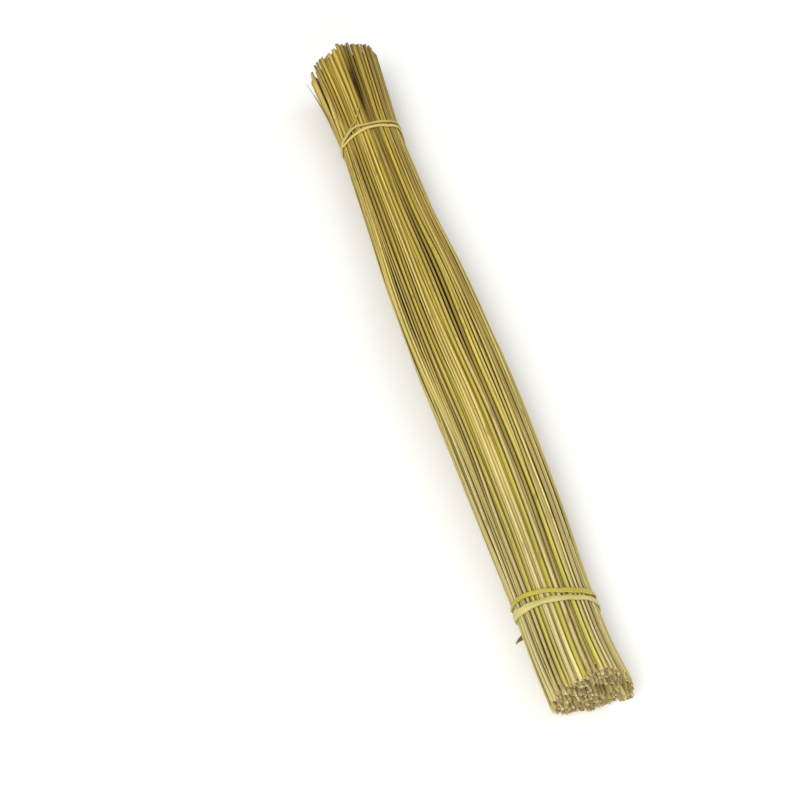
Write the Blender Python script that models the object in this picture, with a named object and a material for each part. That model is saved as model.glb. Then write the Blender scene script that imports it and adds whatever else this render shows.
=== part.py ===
# Bunch of rice straw, bound with two flat straw strips and lying on its side.
# Metres, +Z up. The straws run along Y, cut butts at -Y and tips at +Y, and the underside lies on z = 0.

import math

import bmesh
import bpy
import numpy as np

# Driving dimensions
BUTT_END = -0.2165            # y of the longest cut butt
TIP_END = 0.2060              # y of the longest tip
STRAW_COUNT = 46              # straws in the outside layer
BUTT_RADIUS = 0.00103
TIP_RADIUS = 0.00088
GAP = 0.0003                  # between neighbouring pieces
CHORD_ROOM = 0.00005          # neighbours are spaced along the curved outline, a little more than straight across
HEIGHT_TO_WIDTH = 0.93
SINK = 0.0012                 # how much of the oval outline is cut off where the bunch lies on the floor
CORNER = 0.0015               # softening between the oval and its flat underside
TIE_THICKNESS = 0.0006
TIE_GAP = 0.0004              # between a tie and the straws under it
TIE_STEP = 10.0               # degrees round the bunch between two sections of a tie
LOOSE_DEPTH = 0.0005          # how deep a straw may sink below the outline between the ties
LOOSE_GAP = 0.0001            # extra room between neighbours there
WANDER = 0.38                 # sideways wander of a straw, in straw spacings
WANDER_AT_TIE = 0.25          # share of that wander left where the ties press the straws together
SLOW_WAVE, FAST_WAVE, DEPTH_WAVE = 14.0, 31.0, 23.0    # radians per metre of the wander and of the depth
PRESSED_REACH, LOOSE_REACH = 0.012, 0.072    # from pressed together to quite loose, measured from a tie
SPREAD_ROUNDS = 400
OUTLINE_SAMPLES = 1441
SEED = 11

# Width of the bunch along its length, necked at both ties: (y, width)
WIDTHS = [(-0.216, 0.0403), (-0.172, 0.0392), (-0.110, 0.0442), (-0.050, 0.0468), (0.000, 0.0478),
          (0.030, 0.0460), (0.060, 0.0424), (0.110, 0.0390), (0.140, 0.0378), (0.175, 0.0418), (0.210, 0.0464)]

# Sideways bend of the whole bunch: (y, x)
BEND = [(-0.216, -0.0005), (-0.090, 0.0012), (0.000, -0.0004), (0.090, -0.0004), (0.170, 0.0010), (0.210, 0.0008)]

# Sections where every straw has a point; the first and the last stand for the straw's own ends
STATIONS = [-0.214, -0.187, -0.163, -0.120, -0.070, -0.020, 0.030, 0.075, 0.115, 0.140, 0.170, 0.210]

# How much shorter the upper tips are, from the left side of the bunch to the right: (x, shortening)
TIP_STEPS = [(-0.022, 0.0040), (-0.016, 0.0045), (-0.008, 0.0055), (-0.005, 0.0030), (-0.002, 0.0015),
             (0.002, 0.0020), (0.004, 0.0065), (0.007, 0.0040), (0.013, 0.0035), (0.020, 0.0020)]
UNEVEN_TIPS_TO, EVEN_TIPS_FROM = 0.20, 0.45    # shares of the height: uneven tips below, stepped ones above
UNDER_TIP_RAGGED = 0.014      # unevenness of the tips on the underside
TIP_RAGGED = 0.0015

# How much shorter the cut butts are, from the left side to the right: (x, lowest ones, topmost ones)
BUTT_STEPS = [(-0.020, 0.0060, 0.0100), (-0.015, 0.0053, 0.0125), (-0.006, 0.0043, 0.0110), (0.002, 0.0029, 0.0140),
              (0.011, 0.0035, 0.0120), (0.019, 0.0000, 0.0145)]
LEVEL_BUTTS_TO = 0.25         # share of the height up to which the butts are cut as the lowest ones
BUTT_RAGGED = 0.0012

# The straws inside, as one shape
INNER_SIDES = 24
INNER_BUTT_INSET = 0.0040
INNER_BUTT_SKEW = 0.15        # the right side of the cut reaches further out than the left
INNER_BUTT_SLANT = 0.0100     # and its bottom further than its top
INNER_TIP_INSET = 0.0040
INNER_TIP_SLANT = 0.0060

# Route of each tie: (degrees round the bunch from +X over the top, y, lift off the straws, width)
BUTT_TIE = [(236, -0.1600, 0.0, 0.0018), (164, -0.1594, 0.0, 0.0018), (124, -0.1595, 0.0, 0.0018),
            (97, -0.1615, 0.0, 0.0018), (71, -0.1648, 0.0, 0.0018), (54, -0.1658, 0.0, 0.0019),
            (15, -0.1660, 0.0, 0.0020), (-90, -0.1660, 0.0, 0.0022), (-191, -0.1660, 0.0, 0.0023),
            (-236, -0.1663, 0.0, 0.0023), (-265, -0.1665, 0.0, 0.0023), (-292, -0.1690, 0.0, 0.0023),
            (-330, -0.1710, 0.0, 0.0023), (-345, -0.1725, 0.0, 0.0022), (-450, -0.1730, 0.0, 0.0020),
            (-505, -0.1722, 0.0003, 0.0016), (-534, -0.1725, 0.0030, 0.0008)]
TIP_TIE = [(93, 0.1545, 0.0003, 0.0009), (121, 0.1466, 0.0, 0.0013), (150, 0.1439, 0.0, 0.0017),
           (180, 0.1430, 0.0, 0.0018), (270, 0.1420, 0.0, 0.0018), (360, 0.1422, 0.0, 0.0018),
           (388, 0.1430, 0.0, 0.0018), (414, 0.1424, 0.0, 0.0018), (440, 0.1412, 0.0, 0.0018),
           (475, 0.1418, 0.0, 0.0018), (496, 0.1410, 0.0, 0.0018), (540, 0.1388, 0.0, 0.0018),
           (630, 0.1375, 0.0, 0.0018), (700, 0.1362, 0.0, 0.0018), (735, 0.1380, 0.0, 0.0019),
           (756, 0.1390, 0.0, 0.0019), (798, 0.1382, 0.0, 0.0019), (832, 0.1378, 0.0, 0.0019),
           (856, 0.1368, 0.0, 0.0019), (880, 0.1360, 0.0, 0.0018), (897, 0.1334, 0.0, 0.0017),
           (925, 0.1260, 0.0006, 0.0009)]
TIE_PLACES = (-0.166, 0.139)
LIFT_REACH = 0.025            # the floor of the straws is level this far either side of a tie
LIFT_FADE = 0.025             # and sinks to z = 0 over this length beyond

# Colours: pale, yellow and olive straws, the straws inside, and the two ties
COLOURS = {"straw_pale": (0.56, 0.47, 0.24), "straw_yellow": (0.58, 0.48, 0.08), "straw_olive": (0.43, 0.35, 0.08),
           "straw_inner": (0.34, 0.27, 0.08), "tie_gold": (0.55, 0.43, 0.08), "tie_pale": (0.62, 0.50, 0.22)}
STRAW_ROUGHNESS = 0.55


def clear_scene():
    for item in list(bpy.data.objects):
        bpy.data.objects.remove(item, do_unlink=True)


def make_material(name):
    material = bpy.data.materials.new(name)
    material.use_nodes = True
    shader = material.node_tree.nodes["Principled BSDF"]
    shader.inputs["Base Color"].default_value = (*COLOURS[name], 1.0)
    shader.inputs["Roughness"].default_value = STRAW_ROUGHNESS
    shader.inputs["Metallic"].default_value = 0.0
    return material


def link(name, data, material):
    data.materials.append(material)
    item = bpy.data.objects.new(name, data)
    bpy.context.scene.collection.objects.link(item)
    return item


def smooth(value, points):
    """A smooth curve through the points, level beyond the first and the last."""
    table = np.array(points, dtype=float)
    places, heights = table[:, 0], table[:, 1]
    slopes = np.gradient(heights, places)
    value = np.clip(np.asarray(value, dtype=float), places[0], places[-1])
    left = np.clip(np.searchsorted(places, value) - 1, 0, len(places) - 2)
    span = places[left + 1] - places[left]
    t = (value - places[left]) / span
    return ((2 * t**3 - 3 * t**2 + 1) * heights[left] + (t**3 - 2 * t**2 + t) * span * slopes[left]
            + (3 * t**2 - 2 * t**3) * heights[left + 1] + (t**3 - t**2) * span * slopes[left + 1])


def fade(value):
    """0 below 0, 1 above 1, and a soft step between."""
    t = np.clip(value, 0.0, 1.0)
    return t * t * (3 - 2 * t)


def floor_height(y):
    """Lowest point of the straws: z = 0, and above a tie's thickness where a tie passes beneath."""
    near = min(abs(y - place) for place in TIE_PLACES)
    return (TIE_THICKNESS + TIE_GAP) * float(fade((LIFT_REACH + LIFT_FADE - near) / LIFT_FADE))


def outline(y, angle, outward=0.0):
    """Point (x, z) on the oval outline of the bunch at a station, moved outward by a distance."""
    half_width = float(smooth(y, WIDTHS)) / 2
    height = 2 * half_width * HEIGHT_TO_WIDTH
    half_height = (height + SINK) / 2
    x = float(smooth(y, BEND)) + (half_width + outward) * np.cos(angle)
    oval = height - half_height + (half_height + outward) * np.sin(angle)
    floor = floor_height(y) - outward
    blend = np.maximum(CORNER - np.abs(oval - floor), 0.0)
    return x, np.maximum(oval, floor) + blend**2 / (4 * CORNER)


def skin(y, angle, outward=0.0):
    """The same outline anywhere along the bunch, straight from station to station as the straws are."""
    left = int(np.clip(np.searchsorted(STATIONS, y) - 1, 0, len(STATIONS) - 2))
    t = (y - STATIONS[left]) / (STATIONS[left + 1] - STATIONS[left])
    first = np.array(outline(STATIONS[left], angle, outward))
    second = np.array(outline(STATIONS[left + 1], angle, outward))
    return first + (second - first) * t


def looseness(y):
    """0 at the ties, where the straws are pressed together, and 1 where they lie loose."""
    near = min(abs(y - place) for place in TIE_PLACES)
    return float(fade((near - PRESSED_REACH) / (LOOSE_REACH - PRESSED_REACH)))


def straw_radius(y):
    return BUTT_RADIUS + (TIP_RADIUS - BUTT_RADIUS) * (y - STATIONS[0]) / (STATIONS[-1] - STATIONS[0])


def spread(places, spacing):
    """Push the places round a closed line of length 1 apart until all are a spacing apart."""
    for _ in range(SPREAD_ROUNDS):
        step = np.roll(places, -1) - places
        step[-1] += 1.0
        push = np.maximum(spacing - step, 0.0) / 2
        places = places - push + np.roll(push, 1)
    return places


def straw_places(rng):
    """Centre of every outside straw at every station, as an array of (straw, station, x and z)."""
    angles = np.radians(90.0) + np.linspace(0.0, 2 * math.pi, OUTLINE_SAMPLES)
    phases = rng.uniform(0, 2 * math.pi, (STRAW_COUNT, 3))
    start = (np.arange(STRAW_COUNT) + rng.uniform(-0.2, 0.2, STRAW_COUNT)) / STRAW_COUNT
    centres = np.zeros((STRAW_COUNT, len(STATIONS), 2))
    for column, y in enumerate(STATIONS):
        radius = straw_radius(y)
        loose = looseness(y)
        x, z = outline(y, angles, -radius)
        length = np.concatenate([[0.0], np.cumsum(np.hypot(np.diff(x), np.diff(z)))])
        sway = np.sin(phases[:, 0] + SLOW_WAVE * y) + 0.6 * np.sin(phases[:, 1] + FAST_WAVE * y)
        wander = WANDER * (WANDER_AT_TIE + (1 - WANDER_AT_TIE) * loose) * sway / STRAW_COUNT
        spacing = (2 * radius + GAP + CHORD_ROOM + LOOSE_GAP * loose) / length[-1]
        places = spread(start + wander, spacing) % 1.0
        depth = LOOSE_DEPTH * loose * (0.5 + 0.5 * np.sin(phases[:, 2] + DEPTH_WAVE * y))
        for row in range(STRAW_COUNT):
            angle = np.interp(places[row], length / length[-1], angles)
            centres[row, column] = outline(y, angle, -radius - depth[row])
    return centres


def butt_end(x, z, rng):
    """The cut steps from side to side, and the upper straws are shorter."""
    top = HEIGHT_TO_WIDTH * WIDTHS[0][1]
    places, lowest, topmost = zip(*BUTT_STEPS)
    upper = fade((z / top - LEVEL_BUTTS_TO) / (1 - LEVEL_BUTTS_TO))
    steps = (1 - upper) * np.interp(x, places, lowest) + upper * np.interp(x, places, topmost)
    return BUTT_END + steps + rng.uniform(0.0, BUTT_RAGGED)


def tip_end(x, z, rng):
    """The upper tips step from side to side, the lowest ones are uneven."""
    top = HEIGHT_TO_WIDTH * WIDTHS[-1][1]
    upper = fade((z / top - UNEVEN_TIPS_TO) / (EVEN_TIPS_FROM - UNEVEN_TIPS_TO))
    steps = np.interp(x, *zip(*TIP_STEPS))
    uneven = (1 - upper) * rng.uniform(0.0, UNDER_TIP_RAGGED)
    return TIP_END - upper * steps - uneven - rng.uniform(0.0, TIP_RAGGED)


def end_point(inner, outer, y_inner, y_outer, y):
    """Point at y on the straight run from a straw's last inner station towards its end station."""
    t = (y - y_inner) / (y_outer - y_inner)
    place = inner + (outer - inner) * t
    return (place[0], y, place[1])


def straw_route(centres, rng):
    points = [(x, y, z) for (x, z), y in zip(centres, STATIONS)]
    points[0] = end_point(centres[1], centres[0], STATIONS[1], STATIONS[0],
                          butt_end(centres[0][0], centres[0][1], rng))
    points[-1] = end_point(centres[-2], centres[-1], STATIONS[-2], STATIONS[-1],
                           tip_end(centres[-1][0], centres[-1][1], rng))
    return points


def make_straw(name, points, material):
    """A thin six-sided stem along its points, closed at both ends."""
    curve = bpy.data.curves.new(name, "CURVE")
    curve.dimensions = "3D"
    curve.bevel_depth = BUTT_RADIUS
    curve.bevel_resolution = 1
    curve.use_fill_caps = True
    spline = curve.splines.new("POLY")
    spline.points.add(len(points) - 1)
    for target, point in zip(spline.points, points):
        target.co = (*point, 1.0)
        target.radius = straw_radius(point[1]) / BUTT_RADIUS
    spline.use_smooth = True
    return link(name, curve, material)


def mesh_object(name, build, material):
    shape = bmesh.new()
    build(shape)
    bmesh.ops.recalc_face_normals(shape, faces=shape.faces)
    mesh = bpy.data.meshes.new(name)
    shape.to_mesh(mesh)
    shape.free()
    mesh.shade_smooth()
    mesh.set_sharp_from_angle(angle=math.radians(50))
    return link(name, mesh, material)


def loft(shape, rings):
    """Join closed rings of equal size one after the other, and close both ends."""
    rows = [[shape.verts.new(point) for point in ring] for ring in rings]
    count = len(rows[0])
    for first, second in zip(rows, rows[1:]):
        for k in range(count):
            following = (k + 1) % count
            shape.faces.new((first[k], first[following], second[following], second[k]))
    shape.faces.new(rows[0])
    shape.faces.new(list(reversed(rows[-1])))


def make_inner_straws(material):
    """The straws inside the outer layer as one closed shape that reaches their butts and tips."""
    inset = 2 * BUTT_RADIUS + GAP + LOOSE_DEPTH + LOOSE_GAP
    angles = np.linspace(0.0, 2 * math.pi, INNER_SIDES, endpoint=False)
    sections = [np.column_stack(outline(y, angles, -inset)) for y in STATIONS]
    top = HEIGHT_TO_WIDTH * WIDTHS[0][1]

    def ring_at_end(inner, outer, y_inner, y_outer, end):
        return [end_point(a, b, y_inner, y_outer, end(*b)) for a, b in zip(inner, outer)]

    rings = [[(x, y, z) for x, z in section] for section, y in zip(sections, STATIONS)]
    rings[0] = ring_at_end(sections[1], sections[0], STATIONS[1], STATIONS[0],
                           lambda x, z: BUTT_END + INNER_BUTT_INSET - INNER_BUTT_SKEW * x
                           + INNER_BUTT_SLANT * z / top)
    rings[-1] = ring_at_end(sections[-2], sections[-1], STATIONS[-2], STATIONS[-1],
                            lambda x, z: TIP_END - INNER_TIP_INSET - INNER_TIP_SLANT * z / top)
    return mesh_object("inner_straws", lambda shape: loft(shape, rings), material)


def tie_rings(route):
    """Sections of a flat strip laid along its route round the bunch."""
    table = np.array(route, dtype=float)
    turned = np.sign(table[-1, 0] - table[0, 0])
    along = turned * table[:, 0]
    count = int(round((along[-1] - along[0]) / TIE_STEP))
    stops = np.linspace(along[0], along[-1], count + 1)

    def value(stop, column):
        return float(smooth(stop, list(zip(along, table[:, column]))))

    def centre(stop):
        y = value(stop, 1)
        outward = TIE_GAP + TIE_THICKNESS / 2 + value(stop, 2)
        x, z = skin(y, math.radians(turned * stop), outward)
        return np.array([x, y, z])

    rings = []
    for stop in stops:
        y = value(stop, 1)
        angle = math.radians(turned * stop)
        before, after = skin(y, angle - 0.01), skin(y, angle + 0.01)
        outward = np.array([after[1] - before[1], 0.0, before[0] - after[0]])
        outward /= np.linalg.norm(outward)
        along_strip = centre(stop + 0.5) - centre(stop - 0.5)
        along_strip /= np.linalg.norm(along_strip)
        across = np.cross(outward, along_strip)
        across /= np.linalg.norm(across)
        side = across * value(stop, 3) / 2
        up = outward * TIE_THICKNESS / 2
        middle = centre(stop)
        rings.append([middle + side + up, middle - side + up, middle - side - up, middle + side - up])
    return rings


def make_tie(name, route, material):
    rings = tie_rings(route)
    return mesh_object(name, lambda shape: loft(shape, rings), material)


def centre_on_origin(items):
    """Bring the middle of the whole bunch over the origin, with its lowest point at z = 0."""
    bpy.context.view_layer.update()
    graph = bpy.context.evaluated_depsgraph_get()
    corners = []
    for item in items:
        mesh = item.evaluated_get(graph).to_mesh()
        points = np.empty(len(mesh.vertices) * 3)
        mesh.vertices.foreach_get("co", points)
        corners.append(points.reshape(-1, 3))
        item.evaluated_get(graph).to_mesh_clear()
    points = np.concatenate(corners)
    low, high = points.min(axis=0), points.max(axis=0)
    for item in items:
        item.location = (-(low[0] + high[0]) / 2, -(low[1] + high[1]) / 2, -low[2])


def main():
    clear_scene()
    rng = np.random.default_rng(SEED)
    materials = {name: make_material(name) for name in COLOURS}
    kinds = rng.choice(["straw_pale", "straw_yellow", "straw_olive"], STRAW_COUNT, p=[0.55, 0.2, 0.25])
    items = []
    for number, centres in enumerate(straw_places(rng), start=1):
        route = straw_route(centres, rng)
        items.append(make_straw(f"straw_{number:02d}", route, materials[kinds[number - 1]]))
    items.append(make_inner_straws(materials["straw_inner"]))
    items.append(make_tie("tie_butt", BUTT_TIE, materials["tie_gold"]))
    items.append(make_tie("tie_tip", TIP_TIE, materials["tie_pale"]))
    centre_on_origin(items)


main()
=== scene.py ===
import math

import bpy
import numpy as np
from mathutils import Euler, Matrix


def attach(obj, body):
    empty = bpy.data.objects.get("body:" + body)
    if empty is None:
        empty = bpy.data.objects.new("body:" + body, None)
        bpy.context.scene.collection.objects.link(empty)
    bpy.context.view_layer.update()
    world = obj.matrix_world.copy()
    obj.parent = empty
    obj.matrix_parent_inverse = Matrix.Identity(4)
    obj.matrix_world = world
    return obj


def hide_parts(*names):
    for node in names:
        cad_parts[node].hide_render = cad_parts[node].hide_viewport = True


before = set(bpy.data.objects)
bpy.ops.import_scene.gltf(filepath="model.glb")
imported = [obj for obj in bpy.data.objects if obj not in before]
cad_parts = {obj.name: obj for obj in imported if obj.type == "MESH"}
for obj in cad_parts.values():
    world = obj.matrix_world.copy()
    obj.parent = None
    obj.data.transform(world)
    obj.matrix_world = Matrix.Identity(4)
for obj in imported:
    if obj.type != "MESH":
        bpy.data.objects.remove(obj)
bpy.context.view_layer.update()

# All lengths are in metres. The bunch lies along Y, butts at -Y, tips at +Y, and the floor is z = 0.


# Small helpers

def soften(value):
    # 0 below 0, 1 above 1, and 3t^2 - 2t^3 between
    t = np.clip(value, 0.0, 1.0)
    return t * t * (3 - 2 * t)


def curveThrough(places, values, at):
    # Cubic Hermite curve through (places, values) read at each place of `at`; slopes are the mean rise of the neighbours
    places, values, at = np.asarray(places, float), np.asarray(values, float), np.asarray(at, float)
    slopes = np.gradient(values, places, axis=0)
    at = np.clip(at, places[0], places[-1])
    left = np.clip(np.searchsorted(places, at) - 1, 0, len(places) - 2)
    span = places[left + 1] - places[left]
    t = (at - places[left]) / span
    if values.ndim > 1:
        t, span = t[:, None], span[:, None]
    return ((2 * t**3 - 3 * t**2 + 1) * values[left] + (t**3 - 2 * t**2 + t) * span * slopes[left]
            + (3 * t**2 - 2 * t**3) * values[left + 1] + (t**3 - t**2) * span * slopes[left + 1])


def slowNoise(rng, count, at, wave, strength):
    # For each of `count` straws, two sines along y of about the given wavelength with random phases: (straw, place)
    phase = rng.uniform(0, 2 * math.pi, (2, count, 1))
    turns = 2 * math.pi * np.asarray(at) / wave
    return strength * (np.sin(phase[0] + turns) + 0.6 * np.sin(phase[1] + 2.3 * turns)) / 1.6


def screenColour(colour):
    # 0 to 255 on screen to the linear values that shaders work in
    screen = np.asarray(colour, float) / 255
    return np.where(screen > 0.04045, ((screen + 0.055) / 1.055) ** 2.4, screen / 12.92)


def unit(vectors):
    return vectors / np.linalg.norm(vectors, axis=-1, keepdims=True)


def meshFromGrid(name, grid, colours, distance):
    # grid is (body, ring, side, xyz). Neighbouring rings are joined by quads all round, and the first and last ring of
    # every body are closed by one flat face. colours is (body, ring, side, rgb), distance (body, ring) the length along.
    bodies, rings, sides, _ = grid.shape
    index = np.arange(bodies * rings * sides).reshape(bodies, rings, sides)
    following = np.roll(index, -1, axis=2)
    quads = np.stack([index[:, :-1], index[:, 1:], following[:, 1:], following[:, :-1]], axis=-1).reshape(-1, 4)
    caps = np.concatenate([index[:, 0], index[:, -1, ::-1]])
    corners = np.concatenate([quads.ravel(), caps.ravel()])
    sizes = np.concatenate([np.full(len(quads), 4), np.full(len(caps), sides)])
    mesh = bpy.data.meshes.new(name)
    mesh.vertices.add(grid.size // 3)
    mesh.vertices.foreach_set("co", grid.astype(np.float32).ravel())
    mesh.loops.add(len(corners))
    mesh.loops.foreach_set("vertex_index", corners.astype(np.int32))
    mesh.polygons.add(len(sizes))
    mesh.polygons.foreach_set("loop_start", (np.cumsum(sizes) - sizes).astype(np.int32))
    mesh.polygons.foreach_set("loop_total", sizes.astype(np.int32))
    mesh.update(calc_edges=True)
    smooth = np.ones(len(sizes), bool)
    smooth[len(quads):] = False
    mesh.polygons.foreach_set("use_smooth", smooth)

    # The colour attribute holds each straw's own colour with its painted shade multiplied in
    paint = np.ones((bodies, rings, sides, 4), np.float32)
    paint[..., :3] = colours
    mesh.attributes.new("strawColourAndShade", "FLOAT_COLOR", "POINT").data.foreach_set("color", paint.ravel())

    def layout(uvName, u, step, v):
        # u and v at every point; each quad ends one step further round than it starts, also across the seam
        v = np.broadcast_to(v, (bodies, rings, sides))
        start = np.broadcast_to(u, (bodies, rings, sides))
        quadU = np.stack([start[:, :-1], start[:, :-1], start[:, :-1] + step, start[:, :-1] + step], axis=-1)
        quadV = np.stack([v[:, :-1], v[:, 1:], v[:, 1:], v[:, :-1]], axis=-1)
        pairs = np.stack([np.concatenate([quadU.ravel(), start.ravel()[caps.ravel()]]),
                          np.concatenate([quadV.ravel(), v.ravel()[caps.ravel()]])], axis=-1)
        mesh.uv_layers.new(name=uvName).uv.foreach_set("vector", pairs.astype(np.float32).ravel())

    # strawMap: u once round each stem and a whole number more for the next stem, v the length along in metres.
    # OFBake: every stem is one upright strip of the square.
    around = np.arange(sides) / sides
    number = np.arange(bodies)[:, None, None]
    span = distance - distance.min(axis=1, keepdims=True)
    share = np.maximum.accumulate(span + np.arange(rings) * 1e-5, axis=1)
    share = share / share[:, -1:]
    layout("strawMap", around + number, 1 / sides, distance[:, :, None])
    layout("OFBake", (number + 0.03 + 0.94 * around) / bodies, 0.94 / sides / bodies, 0.01 + 0.98 * share[:, :, None])
    mesh.validate()
    return mesh


def addPiece(name, mesh, material, node):
    mesh.materials.append(material)
    piece = bpy.data.objects.new(name, mesh)
    bpy.context.scene.collection.objects.link(piece)
    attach(piece, "root")
    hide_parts(node)


# Camera: where the photograph was taken from, and a 51 mm lens on a 36 mm frame

cameraSettings = dict(place=(-0.1240, -0.3070, 0.544), down=61.0, turned=-17.46, lens=51.05, sensor=36.0)


def addCamera(s):
    data = bpy.data.cameras.new("camera")
    data.lens, data.sensor_width = s["lens"], s["sensor"]
    data.clip_start, data.clip_end = 0.01, 20.0
    camera = bpy.data.objects.new("camera", data)
    camera.location = s["place"]
    camera.rotation_euler = Euler((math.radians(90 - s["down"]), 0.0, math.radians(s["turned"])))
    bpy.context.scene.collection.objects.link(camera)
    bpy.context.scene.camera = camera


# Materials

grainSettings = dict(streakAcross=4.0, streakAlong=22.0, ribsAcross=9.0, ribsAlong=6.0)


def addNode(tree, kind, **values):
    node = tree.nodes.new(kind)
    for key, value in values.items():
        setattr(node, key, value)
    return node


def makeFibreGrain(s):
    # Two noises stretched along the stem: broad streaks that change the colour, and fine ribs that also stand proud
    tree = bpy.data.node_groups.new("fibreGrain", "ShaderNodeTree")
    tree.interface.new_socket("Map", in_out="INPUT", socket_type="NodeSocketVector")
    for name, value in (("Streaks", 0.3), ("Ribs", 0.2)):
        tree.interface.new_socket(name, in_out="INPUT", socket_type="NodeSocketFloat").default_value = value
    tree.interface.new_socket("Shade", in_out="OUTPUT", socket_type="NodeSocketFloat")
    tree.interface.new_socket("Height", in_out="OUTPUT", socket_type="NodeSocketFloat")
    tree.interface.new_socket("Fleck", in_out="OUTPUT", socket_type="NodeSocketFloat")
    start, end = addNode(tree, "NodeGroupInput"), addNode(tree, "NodeGroupOutput")

    def stretched(across, along, detail):
        scale = addNode(tree, "ShaderNodeVectorMath", operation="MULTIPLY")
        scale.inputs[1].default_value = (across, along, 1.0)
        tree.links.new(start.outputs["Map"], scale.inputs[0])
        noise = addNode(tree, "ShaderNodeTexNoise", noise_dimensions="2D")
        noise.inputs["Scale"].default_value = 1.0
        noise.inputs["Detail"].default_value = detail
        tree.links.new(scale.outputs[0], noise.inputs["Vector"])
        return noise.outputs["Fac"]

    streak = stretched(s["streakAcross"], s["streakAlong"], 3.0)
    rib = stretched(s["ribsAcross"], s["ribsAlong"], 2.0)
    fleck = stretched(s["streakAcross"] * 0.3, s["streakAlong"] * 3.5, 3.0)

    def centred(value, strength):
        # (value - 0.5) times strength
        less = addNode(tree, "ShaderNodeMath", operation="SUBTRACT")
        less.inputs[1].default_value = 0.5
        tree.links.new(value, less.inputs[0])
        times = addNode(tree, "ShaderNodeMath", operation="MULTIPLY")
        tree.links.new(less.outputs[0], times.inputs[0])
        tree.links.new(strength, times.inputs[1])
        return times.outputs[0]

    both = addNode(tree, "ShaderNodeMath", operation="ADD")
    tree.links.new(centred(streak, start.outputs["Streaks"]), both.inputs[0])
    tree.links.new(centred(rib, start.outputs["Ribs"]), both.inputs[1])
    shade = addNode(tree, "ShaderNodeMath", operation="ADD")
    shade.inputs[1].default_value = 1.0
    tree.links.new(both.outputs[0], shade.inputs[0])
    tree.links.new(shade.outputs[0], end.inputs["Shade"])
    tree.links.new(rib, end.inputs["Height"])
    tree.links.new(fleck, end.inputs["Fleck"])
    return tree


def makeStemMaterial(name, grain, s):
    # The painted colour of each stem with its painted shade, times the grain, with brown flecks where the fleck noise
    # is high
    material = bpy.data.materials.new(name)
    material.use_nodes = True
    tree = material.node_tree
    shader = tree.nodes["Principled BSDF"]
    paint = addNode(tree, "ShaderNodeAttribute", attribute_name="strawColourAndShade")
    where = addNode(tree, "ShaderNodeUVMap", uv_map="strawMap")
    fibres = addNode(tree, "ShaderNodeGroup", node_tree=grain)
    fibres.inputs["Streaks"].default_value = s["streaks"]
    fibres.inputs["Ribs"].default_value = s["ribs"]
    tree.links.new(where.outputs["UV"], fibres.inputs["Map"])

    grained = addNode(tree, "ShaderNodeVectorMath", operation="SCALE")
    tree.links.new(paint.outputs["Color"], grained.inputs[0])
    tree.links.new(fibres.outputs["Shade"], grained.inputs["Scale"])

    amount = addNode(tree, "ShaderNodeMapRange")
    amount.inputs["From Min"].default_value = s["fleckFrom"]
    amount.inputs["From Max"].default_value = s["fleckFrom"] + 0.08
    amount.inputs["To Max"].default_value = s["fleckStrength"]
    tree.links.new(fibres.outputs["Fleck"], amount.inputs["Value"])
    flecked = addNode(tree, "ShaderNodeMix", data_type="RGBA")
    flecked.inputs["B"].default_value = (*screenColour(s["fleckColour"]), 1.0)
    tree.links.new(amount.outputs["Result"], flecked.inputs["Factor"])
    tree.links.new(grained.outputs[0], flecked.inputs["A"])
    tree.links.new(flecked.outputs["Result"], shader.inputs["Base Color"])

    rough = addNode(tree, "ShaderNodeMapRange")
    rough.inputs["To Min"].default_value = s["rough"][0]
    rough.inputs["To Max"].default_value = s["rough"][1]
    tree.links.new(fibres.outputs["Height"], rough.inputs["Value"])
    tree.links.new(rough.outputs["Result"], shader.inputs["Roughness"])

    bump = addNode(tree, "ShaderNodeBump")
    bump.inputs["Strength"].default_value = s["bump"]
    bump.inputs["Distance"].default_value = 0.00012
    tree.links.new(fibres.outputs["Height"], bump.inputs["Height"])
    tree.links.new(bump.outputs["Normal"], shader.inputs["Normal"])
    shader.inputs["Specular IOR Level"].default_value = s["specular"]
    return material


# Shape of a stem, and its colour

stemSettings = dict(
    buttRadius=0.00103, tipRadius=0.00088,
    ends=(-0.209, 0.215),            # y that the two radii belong to
    tiePlaces=(-0.161, 0.144),       # y where the ties press the straws together
    pressed=0.010, loose=0.060)      # distance from a tie where they start to lie loose, and lie quite loose

# Each kind of straw: how common it is, and its colour at the butt, in the middle and at the tip
strawKinds = [
    dict(share=0.42, butt=(207, 191, 126), middle=(203, 182, 95), tip=(194, 167, 74)),
    dict(share=0.28, butt=(192, 176, 104), middle=(185, 164, 73), tip=(173, 147, 54)),
    dict(share=0.03, butt=(204, 190, 78), middle=(194, 172, 68), tip=(191, 165, 57)),
    dict(share=0.17, butt=(176, 159, 86), middle=(169, 147, 59), tip=(151, 127, 39)),
    dict(share=0.10, butt=(190, 170, 113), middle=(183, 158, 77), tip=(161, 132, 51))]

# Colours of a cut end: the lip; the bore deep in the open end, a painted shade of the hollow; and the stain near a cut
cutColour = dict(lip=(222, 207, 152), boreShade=(122, 98, 50), stain=(182, 152, 98))

# Share of its colour that the paint keeps in the grooves between straws, and deep inside the bunch
grooveShade, deepShade = np.array([0.08, 0.05, 0.00]), np.array([0.16, 0.11, 0.01])


def baseRadius(y):
    # Straight from the butt radius to the tip radius along the bunch
    s = stemSettings
    t = (np.asarray(y) - s["ends"][0]) / (s["ends"][1] - s["ends"][0])
    return s["buttRadius"] + (s["tipRadius"] - s["buttRadius"]) * np.clip(t, 0, 1)


def looseness(y):
    # 0 where a tie presses the straws together, 1 where they lie quite loose
    s = stemSettings
    near = np.min([np.abs(np.asarray(y) - place) for place in s["tiePlaces"]], axis=0)
    return soften((near - s["pressed"]) / (s["loose"] - s["pressed"]))


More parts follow.
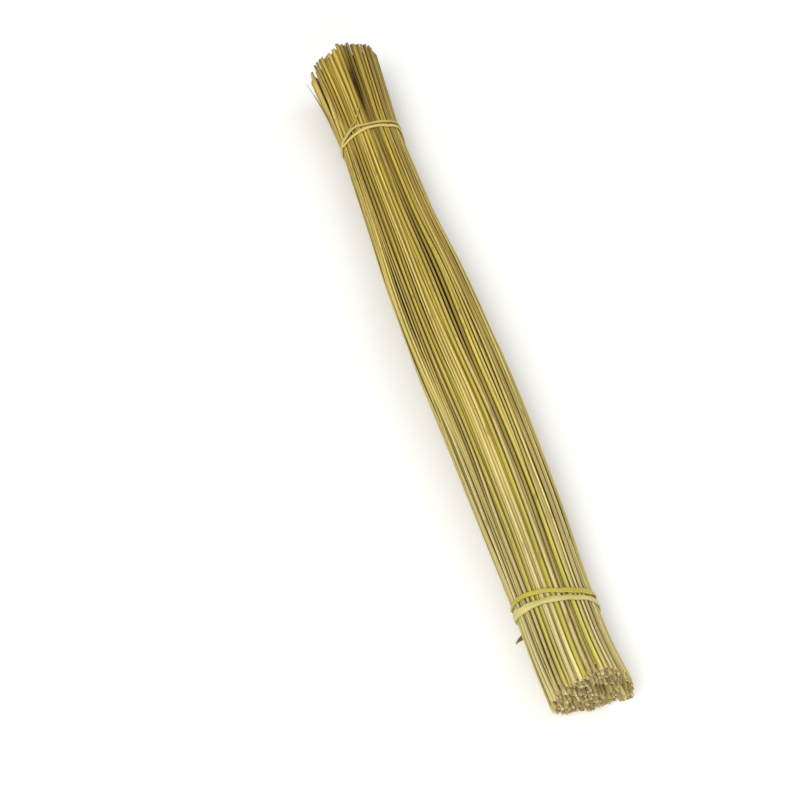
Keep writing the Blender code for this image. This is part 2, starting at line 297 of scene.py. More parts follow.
def strawColours(rng, count, along, vary, chosen=None):
    # Colour of every straw at every place along it: butt, middle and tip colours of its kind, mixed by y
    shares = np.array([kind["share"] for kind in strawKinds])
    drawn = rng.choice(len(strawKinds), count, p=shares / shares.sum())
    chosen = drawn if chosen is None else np.where(chosen < 0, drawn, chosen)
    table = np.array([[screenColour(kind[part]) for part in ("butt", "middle", "tip")] for kind in strawKinds])
    butt, middle, tip = (table[chosen, k][:, None, :] for k in range(3))
    own = rng.uniform(-0.03, 0.03, (count, 1))
    toMiddle = soften((along + 0.190 + own) / 0.200)[..., None]
    toTip = soften((along - 0.000 + own) / 0.170)[..., None]
    colours = butt + (middle - butt) * toMiddle
    colours = colours + (tip - colours) * toTip
    light = rng.normal(1.0, vary, (count, 1)) + slowNoise(rng, count, along, 0.16, 0.10)
    return colours * np.clip(light, 0.50, 1.36)[..., None], chosen


def hollowStems(rng, lines, outward, wide, thick, colours, s):
    # Point = line + wide * cos a * across + thick * sin a * outward, with a from the side that faces the bunch.
    # At each end the wall turns in: a slanted ragged lip, then a bore that is closed inside; the bore is painted
    # darker, a painted shade of the hollow. The paint goes to its groove shade, a painted shade, as sin a goes from
    # 1 to 0, less so near the cuts, where more light reaches; near the cuts it is also stained.
    count, stops, _ = lines.shape
    angle = 2 * math.pi * np.arange(s["sides"]) / s["sides"] - math.pi / 2
    tangent = unit(np.gradient(lines, axis=1))
    outward = unit(outward - tangent * (outward * tangent).sum(axis=2, keepdims=True))
    across = np.cross(tangent, outward)
    spoke = (np.cos(angle)[:, None] * (wide[..., None] * across)[:, :, None]
             + np.sin(angle)[:, None] * (thick[..., None] * outward)[:, :, None])
    skin = lines[:, :, None] + spoke
    steps = np.linalg.norm(np.diff(lines, axis=1), axis=2)
    length = np.concatenate([np.zeros((count, 1)), np.cumsum(steps, axis=1)], axis=1)
    fromEnd = np.minimum(length, length[:, -1:] - length)
    stain = s["stain"] * rng.uniform(0, 1, (count, 1)) * np.exp(-fromEnd / s["stainReach"])
    colours = colours + (screenColour(cutColour["stain"]) - colours) * stain[..., None]
    groove = (1 - np.maximum(np.sin(angle), 0)) ** s["grooveEdge"]
    inGroove = 1 - s["cutLight"] * (1 - soften(fromEnd / s["cutReach"]))
    groove = inGroove[..., None] * groove
    colours = colours[:, :, None] * (1 + (grooveShade - 1) * groove[..., None])
    lip = screenColour(cutColour["lip"]) * rng.uniform(0.62, 1.1, (count, s["sides"], 1))
    # The bore colour is painted shade at the bottom of the open end, darker than the lip
    boreShade = screenColour(cutColour["boreShade"]) * rng.uniform(0.5, 1.3, (count, 1, 1)) * np.ones((s["sides"], 1))
    ends = []
    for place, inward in ((0, 1), (-1, -1)):
        cut = s["slant"] * rng.uniform(0, 1, (count, 1)) * np.cos(angle - rng.uniform(0, 2 * math.pi, (count, 1)))
        cut = cut + rng.uniform(-1, 1, cut.shape) * s["ragged"]
        shift = (cut * wide[:, place, None] * -inward)[..., None] * tangent[:, place, None]
        hollow = s["hollow"] * rng.uniform(0.8, 1.1, (count, 1, 1))
        bored = lines[:, place, None] + spoke[:, place] * hollow
        skin[:, place] += shift
        deep = s["depth"] * rng.uniform(0.6, 1.2, (count, 1, 1)) * inward
        ends.append((bored + shift, bored + deep * tangent[:, place, None]))
    (buttLip, buttBore), (tipLip, tipBore) = ends
    grid = np.concatenate([buttBore[:, None], buttLip[:, None], skin, tipLip[:, None], tipBore[:, None]], axis=1)
    paint = np.concatenate([boreShade[:, None], lip[:, None], colours, lip[:, None], boreShade[:, None]], axis=1)
    along = np.concatenate([length[:, :1], length[:, :1], length, length[:, -1:], length[:, -1:]], axis=1)
    return grid, paint, along + rng.uniform(0, 3, (count, 1))


cutSettings = dict(
    hollow=0.60, depth=0.005,        # bore of the cut end and how far it is open
    slant=0.7, ragged=0.3,           # tilt and unevenness of a cut, in radii
    grooveEdge=1.30, stain=0.6, stainReach=0.0020,
    cutLight=0.55, cutReach=0.012)       # how much less dark the grooves are at the cuts, and how far in


def fromCuts(y, butt, tip):
    # Distance of each place from the nearer cut end; light gets 6 mm further in at the loose tips
    return np.minimum(y - butt[:, None], tip[:, None] - 0.006 - y)


def depthShade(ring, places, fromEnd):
    # Share of its colour a straw keeps: all of it at the ring of outside straws and near a cut, deepShade 2.6 mm inside
    middle = ring.mean(axis=0, keepdims=True)
    depth = ringReach(ring, middle, places) - np.linalg.norm(places - middle, axis=2)
    buried = soften((depth - 0.0005) / 0.0021) * soften((fromEnd - 0.003) / 0.015)
    return 1 + (deepShade - 1) * buried[..., None]


# Outside straws: the CAD model's, with more wander where they lie loose

outerSettings = dict(
    seed=5, sides=12, stops=60, sections=64,
    width=(0.65, 1.09), flat=0.12, tipFlat=0.45, tipSwell=0.16, vary=0.11,
    drift=0.0010, driftWave=0.10, sink=0.0014, sinkWave=0.14, rounds=60,
    kinds={"straw_06": 2, "straw_02": 2, "straw_45": 2, "straw_01": 4, "straw_03": 0, "straw_04": 0, "straw_09": 0,
           "straw_10": 0, "straw_11": 0, "straw_12": 0, "straw_43": 0},
    broad={"straw_10": 0.7, "straw_11": 0.9, "straw_12": 0.6, "straw_03": 0.3},     # how much wider at its tip
    sunk={"straw_01": (0.186, 0.042, 0.0060), "straw_02": (0.196, 0.030, 0.0010)},  # y, half length, depth of a hollow
    bentButts=0.0014, bentRight=0.0012,                             # how far the butts lean to +X, and the right side more
    **cutSettings)


def strawRings(name):
    # Middle of each ring of a CAD straw: its corners sorted by y, parted where y jumps, each group averaged
    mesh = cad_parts[name].data
    points = np.empty(len(mesh.vertices) * 3, np.float32)
    mesh.vertices.foreach_get("co", points)
    corners = np.unique(np.round(points.reshape(-1, 3).astype(float), 6), axis=0)
    corners = corners[np.argsort(corners[:, 1])]
    parts = np.split(corners, np.flatnonzero(np.diff(corners[:, 1]) > 0.005) + 1)
    return np.array([part.mean(axis=0) for part in parts])


def ringReach(ring, middle, places):
    # Distance from the middle to the ring of outside straws in the direction of each place, for every section
    polar, toward = ring - middle, places - middle
    out = np.empty(places.shape[:2])
    for k in range(ring.shape[1]):
        angle = np.arctan2(polar[:, k, 1], polar[:, k, 0])
        order = np.argsort(angle)
        reach = np.hypot(polar[order, k, 0], polar[order, k, 1])
        out[:, k] = np.interp(np.arctan2(toward[:, k, 1], toward[:, k, 0]), angle[order], reach, period=2 * math.pi)
    return out


def layOuterStraws(s):
    # Middle of every outside straw in evenly spaced sections, (straw, section, xz): the CAD straw's place, moved
    # sideways and inwards by slow noise, then neighbours that overlap are pushed apart by half the overlap each
    rng = np.random.default_rng(s["seed"])
    names = sorted(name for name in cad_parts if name.startswith("straw_"))
    cadLines = [strawRings(name) for name in names]
    butt = np.array([line[0, 1] for line in cadLines])
    tip = np.array([line[-1, 1] for line in cadLines])
    y = np.linspace(butt.min(), tip.max(), s["sections"])
    ring = np.array([curveThrough(line[:, 1], line[:, [0, 2]], y) for line in cadLines])
    count = len(names)
    middle = ring.mean(axis=0, keepdims=True)
    outward = unit(ring - middle)
    sideways = np.stack([-outward[..., 1], outward[..., 0]], axis=-1)
    loose = looseness(y)
    tipward = soften((y - 0.130) / 0.060)

    bent = soften((-0.178 - y) / 0.038)
    ring[..., 0] += bent * (s["bentButts"] + s["bentRight"] * soften(ring[..., 0] / 0.016))

    size = baseRadius(y) * rng.uniform(*s["width"], (count, 1)) * (1 + slowNoise(rng, count, y, 0.11, 0.04))
    size = size * (1 + s["tipSwell"] * tipward)
    flat = s["flat"] * rng.uniform(0, 1, (count, 1)) + s["tipFlat"] * tipward * rng.uniform(0, 1, (count, 1)) ** 1.5
    for name, share in s["broad"].items():
        flat[names.index(name)] += share * tipward
    wide, thick = size * (1 + flat), size * np.maximum(1 - 0.5 * flat, 0.55)
    drift = slowNoise(rng, count, y, s["driftWave"], s["drift"]) * loose
    sink = np.maximum(slowNoise(rng, count, y, s["sinkWave"], s["sink"]), 0) * loose
    for name, (at, reach, deep) in s["sunk"].items():
        sink[names.index(name)] += deep * soften(1 - np.abs(y - at) / reach)
    places = ring + sideways * drift[..., None] - outward * sink[..., None]
    for _ in range(s["rounds"]):
        step = np.roll(places, -1, axis=0) - places
        gap = np.linalg.norm(step, axis=2)
        overlap = np.maximum(wide + np.roll(wide, -1, axis=0) - gap, 0.0)
        push = step * (overlap / gap / 2)[..., None]
        places = places - push + np.roll(push, 1, axis=0)
        moved = places - ring
        moved[:, 1:-1] += 0.2 * (0.5 * (moved[:, :-2] + moved[:, 2:]) - moved[:, 1:-1])
        places = ring + moved
        reach = np.linalg.norm(places - middle, axis=2)
        limit = ringReach(ring, middle, places)
        places = middle + (places - middle) * np.minimum(1.0, limit / reach)[..., None]
    places[..., 1] = np.maximum(places[..., 1], thick)
    shade = depthShade(ring, places, fromCuts(y, butt, tip))
    return dict(names=names, y=y, ring=ring, places=places, wide=wide, thick=thick, butt=butt, tip=tip, shade=shade,
                rng=rng)


def addOuterStraws(bunch, material, s):
    rng, y, places = bunch["rng"], bunch["y"], bunch["places"]
    middle = places.mean(axis=0)
    lines, outward, wide, thick, shade = [], [], [], [], []
    for k in range(len(bunch["names"])):
        at = bunch["butt"][k] + (bunch["tip"][k] - bunch["butt"][k]) * np.linspace(0, 1, s["stops"])
        place = curveThrough(y, places[k], at)
        away = place - curveThrough(y, middle, at)
        lines.append(np.column_stack([place[:, 0], at, place[:, 1]]))
        outward.append(np.column_stack([away[:, 0], np.zeros(len(at)), away[:, 1]]))
        wide.append(np.interp(at, y, bunch["wide"][k]))
        thick.append(np.interp(at, y, bunch["thick"][k]))
        shade.append(curveThrough(y, bunch["shade"][k], at))
    lines, outward, wide, thick, shade = (np.array(part) for part in (lines, outward, wide, thick, shade))
    known = np.array([s["kinds"].get(name, -1) for name in bunch["names"]])
    colours, kinds = strawColours(rng, len(lines), lines[..., 1], s["vary"], known)
    colours = colours * tipTone(lines)[..., None] * shade
    grid, paint, along = hollowStems(rng, lines, outward, wide, thick, colours, s)
    for k, name in enumerate(bunch["names"]):
        mesh = meshFromGrid(name.replace("straw_", "strawStem"), grid[k:k + 1], paint[k:k + 1], along[k:k + 1])
        addPiece(mesh.name, mesh, material, name)
    print("outside straws:", len(lines))


def tipTone(lines):
    # Towards the tips the straws are lighter on the left and darker on the right
    tipward, right = soften((lines[..., 1] - 0.120) / 0.080), soften((lines[..., 0] + 0.014) / 0.018)
    return 1 + tipward * (0.16 - 0.40 * right)


# Straws of the second layer, each in the groove between two outside ones

betweenSettings = dict(
    seed=21, sides=8, stops=40, width=(0.54, 0.98), flat=0.14, vary=0.22,
    press=0.00010,                   # how far neighbours flatten each other
    smoothing=6, buttRagged=0.0030, tipRagged=0.0020, **cutSettings)


def layBetween(bunch, s):
    # A straw of radius r rests in the groove between neighbours of radius q that are g apart, so its middle is
    # sqrt((q + r - press)^2 - (g/2)^2) below theirs; then its line is smoothed along y
    rng = np.random.default_rng(s["seed"])
    places, wide = bunch["places"], bunch["wide"]
    following, middle = np.roll(places, -1, axis=0), places.mean(axis=0, keepdims=True)
    radius = baseRadius(bunch["y"]) * rng.uniform(*s["width"], (len(places), 1))
    gap = np.linalg.norm(following - places, axis=2)
    halfway = (places + following) / 2
    reach = (wide + np.roll(wide, -1, axis=0)) / 2 + radius - s["press"]
    below = np.sqrt(np.maximum(reach**2 - gap**2 / 4, 0))
    laid = halfway - unit(halfway - middle) * below[..., None]
    for _ in range(s["smoothing"]):
        laid[:, 1:-1] += 0.5 * (0.5 * (laid[:, :-2] + laid[:, 2:]) - laid[:, 1:-1])
    laid[..., 1] = np.maximum(laid[..., 1], radius)
    butt = (bunch["butt"] + np.roll(bunch["butt"], -1)) / 2 + rng.uniform(-0.2, 1.0, len(places)) * s["buttRagged"]
    tip = (bunch["tip"] + np.roll(bunch["tip"], -1)) / 2 - rng.uniform(-0.2, 1.0, len(places)) * s["tipRagged"]
    shade = depthShade(bunch["ring"], laid, fromCuts(bunch["y"], butt, tip))
    return dict(places=laid, radius=radius, butt=butt, tip=tip, shade=shade, rng=rng)


def addBetween(bunch, between, material, s):
    rng, y, count = between["rng"], bunch["y"], len(between["places"])
    at = between["butt"][:, None] + (between["tip"] - between["butt"])[:, None] * np.linspace(0, 1, s["stops"])
    place = np.array([curveThrough(y, line, row) for line, row in zip(between["places"], at)])
    centre = np.array([curveThrough(y, bunch["places"].mean(axis=0), row) for row in at])
    away = place - centre
    lines = np.stack([place[..., 0], at, place[..., 1]], axis=-1)
    outward = np.stack([away[..., 0], np.zeros(at.shape), away[..., 1]], axis=-1)
    radius = np.array([np.interp(row, y, own) for row, own in zip(at, between["radius"])])
    flat = s["flat"] * rng.uniform(0, 1, (count, 1))
    colours, _ = strawColours(rng, count, at, s["vary"])
    shade = np.array([curveThrough(y, own, row) for row, own in zip(at, between["shade"])])
    colours = colours * tipTone(lines)[..., None] * shade
    grid, paint, along = hollowStems(rng, lines, outward, radius * (1 + flat), radius * (1 - flat), colours, s)
    mesh = meshFromGrid("secondLayer", grid, paint, along)
    addPiece(mesh.name, mesh, material, "inner_straws")
    print("second layer:", count)


# Straws inside the bunch: stems packed by pushing discs apart section by section

innerSettings = dict(
    seed=8, count=240, groups=3,
    sides=6, sections=14,
    stops=(0, 0.05, 0.13, 0.22, 0.36, 0.50, 0.64, 0.77, 0.86, 0.955, 1),   # shares of the length where the stem has a ring
    width=(0.82, 1.02), oval=0.16,
    rounds=160, bend=0.30,           # packing rounds, and how strongly a stem is kept straight
    spread=0.44,                     # 0.5 spreads them evenly, less puts more of them near the surface
    nestle=0.35,                     # how near the line of the outside straws a stem may come, in radii
    wander=0.0016, wanderWave=0.33,
    buttRagged=0.0027, tipRagged=0.006, tipInset=0.0005, vary=0.18, **cutSettings)


def packInside(fixed, walls, wallRadius, radii, y, rng, s):
    # Discs in every section, first on a sunflower pattern scaled to the ring of outside straws, then pushed apart in
    # pairs by half their overlap, away from the walls (the fixed straws) by all of it, and back inside that ring
    count = s["count"]
    middle = fixed.mean(axis=0, keepdims=True)
    number = np.arange(count) + 0.5
    reach = (number / count) ** s["spread"] * 0.95
    turn = number * math.pi * (3 - math.sqrt(5))
    toward = np.stack([np.cos(turn), np.sin(turn)], axis=-1)[:, None]
    places = middle + toward * 0.001
    places = middle + toward * (reach[:, None] * ringReach(fixed, middle, places))[..., None]
    loose = 0.4 + 0.6 * looseness(y)
    sway = [slowNoise(rng, count, y, s["wanderWave"], s["wander"]) * loose for _ in range(2)]
    places = places + np.stack(sway, axis=-1)
    own, others = radii.T, wallRadius.T
    still = walls.transpose(1, 0, 2)
    for _ in range(s["rounds"]):
        now = places.transpose(1, 0, 2)
        apart = now[:, :, None] - now[:, None]
        gap = np.sqrt((apart**2).sum(axis=3)) + np.eye(count)[None]
        overlap = np.maximum(own[:, :, None] + own[:, None] - gap, 0.0)
        push = (apart * (0.5 * overlap / gap)[..., None]).sum(axis=2)
        apart = now[:, :, None] - still[:, None]
        gap = np.sqrt((apart**2).sum(axis=3)) + 1e-9
        overlap = np.maximum(own[:, :, None] + others[:, None] - gap, 0.0)
        push += (apart * (overlap / gap)[..., None]).sum(axis=2)
        places = places + 0.8 * push.transpose(1, 0, 2)
        places[:, 1:-1] += s["bend"] * (0.5 * (places[:, :-2] + places[:, 2:]) - places[:, 1:-1])
        limit = ringReach(fixed, middle, places) - s["nestle"] * radii
        far = np.linalg.norm(places - middle, axis=2)
        places = middle + (places - middle) * np.minimum(1.0, limit / np.maximum(far, 1e-9))[..., None]
    return places


def addInnerStraws(bunch, between, material, s):
    rng = np.random.default_rng(s["seed"])
    count, y = s["count"], bunch["y"]
    stations = np.linspace(y[0], y[-1], s["sections"])
    fixed = np.array([curveThrough(y, line, stations) for line in bunch["places"]])
    second = np.array([curveThrough(y, line, stations) for line in between["places"]])
    wallRadius = np.array([np.interp(stations, y, row) for row in (*bunch["thick"], *between["radius"])])
    size = rng.uniform(*s["width"], (count, 1))
    radii = baseRadius(stations) * size
    places = packInside(fixed, np.concatenate([fixed, second]), wallRadius, radii, stations, rng, s)

    butt = nearestEnd(bunch["places"][:, 0], bunch["butt"], places[:, 0])
    tip = nearestEnd(bunch["places"][:, -1], bunch["tip"], places[:, -1])
    butt = butt + rng.uniform(-0.3, 1.0, count) * s["buttRagged"]
    tip = tip - s["tipInset"] - rng.uniform(0, 1, count) ** 1.5 * s["tipRagged"]
    at = butt[:, None] + (tip - butt)[:, None] * np.array(s["stops"])
    place = np.array([curveThrough(stations, line, row) for line, row in zip(places, at)])
    centre = np.array([curveThrough(stations, fixed.mean(axis=0), row) for row in at])
    away = place - centre + rng.uniform(-1, 1, (count, 1, 2)) * 0.001
    lines = np.stack([place[..., 0], at, place[..., 1]], axis=-1)
    outward = np.stack([away[..., 0], np.zeros(at.shape), away[..., 1]], axis=-1)
    ring = np.array([curveThrough(y, line, stations) for line in bunch["ring"]])
    shade = depthShade(ring, places, fromCuts(stations, butt, tip))
    shade = np.array([curveThrough(stations, own, row) for row, own in zip(at, shade)])
    lines[..., 2] = np.maximum(lines[..., 2], baseRadius(lines[..., 1]))
    own = baseRadius(lines[..., 1]) * size
    flat = s["oval"] * rng.uniform(0, 1, (count, 1))
    colours, _ = strawColours(rng, count, lines[..., 1], s["vary"])
    colours = colours * tipTone(lines)[..., None] * shade
    grid, paint, along = hollowStems(rng, lines, outward, own * (1 + flat), own * (1 - flat), colours, s)
    for k, chosen in enumerate(np.array_split(np.arange(count), s["groups"])):
        mesh = meshFromGrid(f"innerStems{k + 1}", grid[chosen], paint[chosen], along[chosen])
        addPiece(mesh.name, mesh, material, "inner_straws")
    print("inner straws:", count)


def nearestEnd(ringPlaces, ringEnds, places):
    # End of the outside straws carried inward: mean of all their ends, weighted by 1 / distance^4
    distance = np.linalg.norm(places[:, None] - ringPlaces[None], axis=2)
    weight = 1 / (distance + 0.002) ** 4
    return (weight * ringEnds).sum(axis=1) / weight.sum(axis=1)


# Loose fibres, much thinner than a straw, that stand off the outside straws

fibreSettings = dict(
    seed=31, sides=6, stops=14, radius=0.00036, thinning=0.6, colour=(150, 134, 98),
    # straw it leaves, y at both ends, how far its free end stands off sideways and outwards
    fibres=[("straw_13", 0.160, 0.2025, -0.0028, 0.0039), ("straw_13", 0.166, 0.1940, -0.0016, 0.0022)])


def addFibres(bunch, material, s):
    # Along the straw's line, leaving it by t^1.6 of the sideways and outward steps, and thinning evenly
    rng = np.random.default_rng(s["seed"])
    t = np.linspace(0, 1, s["stops"])
    angle = 2 * math.pi * np.arange(s["sides"]) / s["sides"]
    grids, lengths = [], []
    for name, first, last, sideStep, outStep in s["fibres"]:
        k = bunch["names"].index(name)
        y = first + (last - first) * t
        place = curveThrough(bunch["y"], bunch["places"][k], y)
        out = unit(place - curveThrough(bunch["y"], bunch["places"].mean(axis=0), y))
        side = np.stack([-out[:, 1], out[:, 0]], axis=-1)
        away = np.interp(y, bunch["y"], bunch["thick"][k])[:, None] + outStep * t[:, None] ** 1.6
        place = place + out * away + side * (sideStep * t**1.6)[:, None]
        line = np.column_stack([place[:, 0], y, np.maximum(place[:, 1], s["radius"])])
        radius = s["radius"] * (1 - s["thinning"] * t) * (1 + slowNoise(rng, 1, y, 0.02, 0.15)[0])
        turned = angle * np.sign(first - last)
        spoke = np.stack([np.cos(turned), np.zeros(len(turned)), np.sin(turned)], axis=-1)
        grids.append(line[:, None] + radius[:, None, None] * spoke)
        lengths.append(np.abs(y - first))
    paint = np.ones((len(grids), s["stops"], s["sides"], 3)) * screenColour(s["colour"])
    mesh = meshFromGrid("looseFibres", np.array(grids), paint, np.array(lengths))
    addPiece(mesh.name, mesh, material, "inner_straws")
    print("loose fibres:", len(grids))


# Ties: a flat strip of straw wound about twice, laid on the outside straws

tieRoutes = {
    # degrees round the bunch from +X over the top, y, lift off the straws, width
    "tie_butt": [(236, -0.1540, 0.0, 0.0018), (164, -0.1540, 0.0, 0.0021), (146, -0.1537, 0.0, 0.0022),
                 (124, -0.1546, 0.0, 0.0023), (104, -0.1567, 0.0, 0.0023), (84, -0.1586, 0.0, 0.0024),
                 (66, -0.1600, 0.0, 0.0026), (46, -0.1611, 0.0, 0.0028), (6, -0.1612, 0.0, 0.0028),
                 (-90, -0.1610, 0.0, 0.0024), (-170, -0.1592, 0.0, 0.0036), (-191, -0.1586, 0.0, 0.0040),
                 (-212, -0.1593, 0.0, 0.0036), (-238, -0.1600, 0.0, 0.0030), (-258, -0.1612, 0.0, 0.0028),
                 (-278, -0.1624, 0.0, 0.0027), (-294, -0.1636, 0.0, 0.0026), (-310, -0.1644, 0.0, 0.0026),
                 (-330, -0.1652, 0.0, 0.0026), (-350, -0.1668, 0.0, 0.0024), (-356, -0.1676, 0.0, 0.0024),
                 (-450, -0.1680, 0.0, 0.0022), (-505, -0.1664, 0.0003, 0.0026), (-534, -0.1705, 0.0034, 0.0005)],
    "tie_tip": [(98, 0.1592, 0.0004, 0.0006), (109, 0.1549, 0.0002, 0.0009), (121, 0.1504, 0.0, 0.0013),
                (142, 0.1478, 0.0, 0.0015), (164, 0.1460, 0.0, 0.0016), (180, 0.1456, 0.0, 0.0016),
                (270, 0.1470, 0.0, 0.0018), (335, 0.1450, 0.0, 0.0018), (360, 0.1462, 0.0, 0.0018),
                (370, 0.1484, 0.0, 0.0018), (382, 0.1500, 0.0, 0.0018), (406, 0.1483, 0.0, 0.0018),
                (424, 0.1469, 0.0, 0.0018), (442, 0.1461, 0.0, 0.0018), (464, 0.1464, 0.0002, 0.0018),
                (480, 0.1478, 0.0005, 0.0017), (502, 0.1464, 0.0005, 0.0016), (524, 0.1449, 0.0005, 0.0016),
                (540, 0.1444, 0.0, 0.0017), (630, 0.1425, 0.0, 0.0018), (700, 0.1396, 0.0, 0.0018),
                (722, 0.1404, 0.0, 0.0018), (734, 0.1444, 0.0, 0.0018), (745, 0.1466, 0.0, 0.0019),
                (758, 0.1456, 0.0, 0.0019), (772, 0.1444, 0.0, 0.0019), (790, 0.1435, 0.0, 0.0020),
                (812, 0.1436, 0.0, 0.0020), (832, 0.1436, 0.0, 0.0020), (846, 0.1433, 0.0, 0.0019),
                (866, 0.1437, 0.0, 0.0018), (886, 0.1449, 0.0, 0.0017), (903, 0.1444, 0.0, 0.0016),
                (908, 0.1400, 0.0001, 0.0014), (904, 0.1345, 0.0001, 0.0007)]}

tieSettings = dict(seed=4, thickness=0.00085, step=0.0011, stiffness=4, points=18)

# First and last colour of each tie, along the strip
tiePaint = {"tie_butt": ((178, 162, 62), (192, 180, 112)), "tie_tip": ((168, 146, 70), (204, 184, 108))}


def tieLine(route, bunch, s):
    # Where a tight strip runs: for each direction n round the bunch, the outside straw that reaches furthest along n
    # carries it, at centre + (half thickness + half the strip) * n; then evenly spaced and smoothed as it is stiff
    table = np.array(route, float)
    turned = np.sign(table[-1, 0] - table[0, 0])
    along = turned * table[:, 0]
    stop = np.arange(along[0], along[-1], 1.0)
    y, lift, wide = (curveThrough(along, table[:, k], stop) for k in (1, 2, 3))
    centres = np.array([curveThrough(bunch["y"], line, y) for line in bunch["places"]]).transpose(1, 0, 2)
    thick = np.array([np.interp(y, bunch["y"], row) for row in bunch["thick"]]).T
    angle = np.radians(turned * stop)
    normal = np.stack([np.cos(angle), np.sin(angle)], axis=-1)
    carrier = ((centres * normal[:, None]).sum(axis=2) + thick).argmax(axis=1)
    row = np.arange(len(stop))
    place = centres[row, carrier] + (thick[row, carrier] + s["thickness"] / 2 + lift)[:, None] * normal
    points = np.column_stack([place[:, 0], y, place[:, 1]])
    length = np.concatenate([[0.0], np.cumsum(np.linalg.norm(np.diff(points, axis=0), axis=1))])
    even = np.linspace(0, length[-1], int(length[-1] / s["step"]))
    points = np.column_stack([np.interp(even, length, points[:, k]) for k in range(3)])
    normals = np.column_stack([np.interp(even, length, normal[:, k]) for k in range(2)])
    wide = np.interp(even, length, wide)
    for _ in range(s["stiffness"]):
        points[1:-1] += 0.5 * (0.5 * (points[:-2] + points[2:]) - points[1:-1])
        normals[1:-1] += 0.5 * (0.5 * (normals[:-2] + normals[2:]) - normals[1:-1])
    points[:, 2] = np.maximum(points[:, 2], s["thickness"] * 0.75)
    return points, np.column_stack([normals[:, 0], np.zeros(len(even)), normals[:, 1]]), wide, even


def addTie(name, pieceName, bunch, material, s):
    # A lens-shaped strip: point = line + half width * |cos|^0.7 across + half thickness * |sin|^0.8 * ribs outward
    rng = np.random.default_rng(s["seed"] + len(name))
    points, outward, wide, length = tieLine(tieRoutes[name], bunch, s)
    tangent = unit(np.gradient(points, axis=0))
    outward = unit(outward - tangent * (outward * tangent).sum(axis=1, keepdims=True))
    across = np.cross(outward, tangent)
    sweep = 2 * math.pi * (np.arange(s["points"]) + 0.5) / s["points"]
    flat = np.sign(np.cos(sweep)) * np.abs(np.cos(sweep)) ** 0.7
    thick = np.sign(np.sin(sweep)) * np.abs(np.sin(sweep)) ** 0.8
    wide = wide * (1 + slowNoise(rng, 1, length, 0.03, 0.10)[0])
    rib = 1 + 0.16 * np.sin(7.5 * math.pi * flat)[None, :] * (thick > 0)
    high = s["thickness"] / 2 * (thick * rib + 0.35 * (1 - flat**2) * (thick > 0))
    roll = slowNoise(rng, 1, length, 0.05, 0.18)[0][:, None]
    acrossNow = across * np.cos(roll) + outward * np.sin(roll)
    outwardNow = outward * np.cos(roll) - across * np.sin(roll)
    grid = (points[:, None] + (wide[:, None] / 2 * flat)[..., None] * acrossNow[:, None]
            + high[..., None] * outwardNow[:, None])
    first, last = (screenColour(colour) for colour in tiePaint[name])
    share = (length / length[-1])[:, None]
    colours = first + (last - first) * soften((share - 0.25) / 0.4)
    colours = colours * (1 + slowNoise(rng, 1, length, 0.04, 0.10)[0])[:, None]
    # Painted shade: the sides and underside of the strip, which face away from the outside, are painted darker
    paintedEdgeShade = 1 - 0.45 * (1 - np.maximum(thick, 0)) ** 1.5
    paint = colours[:, None] * paintedEdgeShade[:, None]
    if (np.cross(grid[1, 1] - grid[1, 0], grid[2, 0] - grid[1, 0]) * (grid[1, 0] - grid[1].mean(axis=0))).sum() > 0:
        grid, paint = grid[:, ::-1], paint[:, ::-1]
    mesh = meshFromGrid(pieceName, grid[None], paint[None], length[None])
    addPiece(pieceName, mesh, material, name)
    print(pieceName, "length", round(float(length[-1]), 3))


# Floor, lights and camera

stageSettings = dict(
    floorSize=6.0, floorColour=(246, 246, 244),
    worldColour=(1.0, 1.0, 1.0), worldStrength=0.62,
    lights=[dict(name="keyLight", place=(-0.72, -0.50, 1.38), size=1.0, power=14.0),
            dict(name="fillLight", place=(0.9, 0.2, 1.2), size=1.2, power=4.6),
            dict(name="frontLight", place=(-0.15, -1.3, 0.50), size=0.8, power=4.0)])


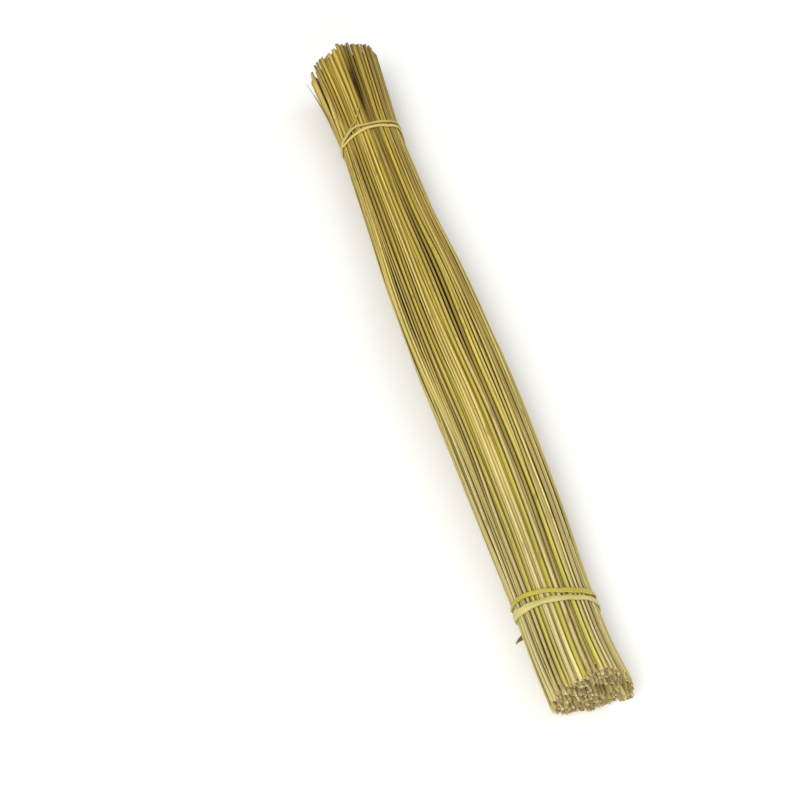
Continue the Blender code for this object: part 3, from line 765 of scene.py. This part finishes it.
def addStage(s):
    mesh = bpy.data.meshes.new("floor")
    half = s["floorSize"] / 2
    mesh.from_pydata([(-half, -half, 0), (half, -half, 0), (half, half, 0), (-half, half, 0)], [], [(0, 1, 2, 3)])
    material = bpy.data.materials.new("paleFloor")
    material.use_nodes = True
    shader = material.node_tree.nodes["Principled BSDF"]
    shader.inputs["Base Color"].default_value = (*screenColour(s["floorColour"]), 1.0)
    shader.inputs["Roughness"].default_value = 0.8
    mesh.materials.append(material)
    floor = bpy.data.objects.new("floor", mesh)
    bpy.context.scene.collection.objects.link(floor)

    world = bpy.data.worlds.new("studio")
    world.use_nodes = True
    sky = world.node_tree.nodes["Background"]
    sky.inputs["Color"].default_value = (*s["worldColour"], 1.0)
    sky.inputs["Strength"].default_value = s["worldStrength"]
    bpy.context.scene.world = world

    for light in s["lights"]:
        data = bpy.data.lights.new(light["name"], "AREA")
        data.shape, data.size, data.energy = "DISK", light["size"], light["power"]
        lamp = bpy.data.objects.new(light["name"], data)
        lamp.location = light["place"]
        toward = -np.array(light["place"])
        flat = math.hypot(toward[0], toward[1])
        lamp.rotation_euler = Euler((math.atan2(flat, -toward[2]), 0.0, math.atan2(toward[1], toward[0]) - math.pi / 2))
        bpy.context.scene.collection.objects.link(lamp)
    bpy.context.scene.view_settings.view_transform = "Standard"


addCamera(cameraSettings)
fibreGrain = makeFibreGrain(grainSettings)
dryStraw = makeStemMaterial("dryStraw", fibreGrain, dict(
    streaks=0.70, ribs=0.95, fleckFrom=0.66, fleckStrength=0.4, fleckColour=(136, 92, 50),
    rough=(0.42, 0.62), bump=0.5, specular=0.35))
tieStraw = makeStemMaterial("tieStraw", fibreGrain, dict(
    streaks=0.35, ribs=0.45, fleckFrom=0.72, fleckStrength=0.4, fleckColour=(128, 84, 36),
    rough=(0.40, 0.60), bump=0.6, specular=0.35))
bunch = layOuterStraws(outerSettings)
addOuterStraws(bunch, dryStraw, outerSettings)
between = layBetween(bunch, betweenSettings)
addBetween(bunch, between, dryStraw, betweenSettings)
addInnerStraws(bunch, between, dryStraw, innerSettings)
addFibres(bunch, dryStraw, fibreSettings)
addTie("tie_butt", "tieNearButts", bunch, tieStraw, tieSettings)
addTie("tie_tip", "tieNearTips", bunch, tieStraw, tieSettings)
addStage(stageSettings)
